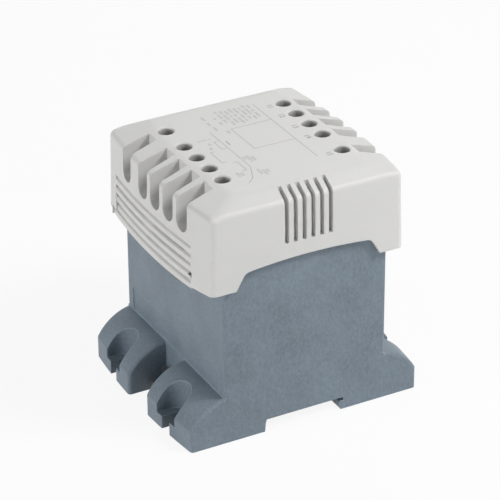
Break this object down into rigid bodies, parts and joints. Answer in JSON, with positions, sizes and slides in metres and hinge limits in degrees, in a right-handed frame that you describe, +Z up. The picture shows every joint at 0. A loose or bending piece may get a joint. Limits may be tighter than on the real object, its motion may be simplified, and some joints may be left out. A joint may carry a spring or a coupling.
{
  "type": "control transformer",
  "caption": "Enclosed control transformer: a blue-grey moulded housing with slotted screw feet and a rail latch, under a light grey cover with louvres, vents and wire entries.",
  "frame": {"origin": "middle of the footprint, on the plane the feet stand on", "axes": "+X from the first terminal side, where the rail latch is, to the second; -Y is the vented front as pictured; +Z up, away from the panel it is screwed to"},
  "size_m": [0.1098, 0.0922, 0.1085],
  "materials": {
    "housing_moulding": "fine matt grain, blue-grey",
    "cover_moulding": "fine matt grain, light grey",
    "electrical_steel": "dull rolled sheet, edges stacked",
    "former_moulding": "satin, near black",
    "enamelled_wire": "copper-coloured enamel",
    "wrap_tape": "amber film tape",
    "plated_steel": "zinc plate",
    "carrier_moulding": "fine matt, mid grey",
    "terminal_metal": "nickel plate",
    "tag_metal": "bright tin plate",
    "lead_sleeve": "satin insulation",
    "earth_sleeve": "green insulation with a yellow stripe",
    "latch_steel": "zinc plate",
    "spring_steel": "bright wire"
  },
  "bodies": {
    "main": {"housing_body": "housing_moulding", "cover": "cover_moulding", "core_e_stack": "electrical_steel", "core_i_stack": "electrical_steel", "coil_former": "former_moulding", "primary_winding": "enamelled_wire", "secondary_winding": "enamelled_wire", "primary_wrap": "wrap_tape", "secondary_wrap": "wrap_tape", "core_bracket_left": "plated_steel", "core_bracket_right": "plated_steel", "core_bolts": "plated_steel", "core_nuts": "plated_steel", "core_washers": "plated_steel", "bracket_screws": "plated_steel", "terminal_carrier_left": "carrier_moulding", "terminal_carrier_right": "carrier_moulding", "carrier_screws": "plated_steel", "terminal_cages_left": "terminal_metal", "terminal_cages_right": "terminal_metal", "terminal_screws_left": "plated_steel", "terminal_screws_right": "plated_steel", "terminal_tags_left": "tag_metal", "terminal_tags_right": "tag_metal", "secondary_leads": "lead_sleeve", "primary_leads": "lead_sleeve", "earth_lead": "earth_sleeve", "earth_ring": "tag_metal", "latch_spring": "spring_steel"},
    "latch": {"rail_latch": "latch_steel"}
  },
  "joints": [
    {"name": "latch_slide", "type": "slide", "parent": "main", "child": "latch", "axis": [-1, 0, 0], "range_m": [0, 0.003], "stiffness_N_per_m": 2000, "springref_m": -0.002, "deforming": ["latch_spring"]}
  ]
}
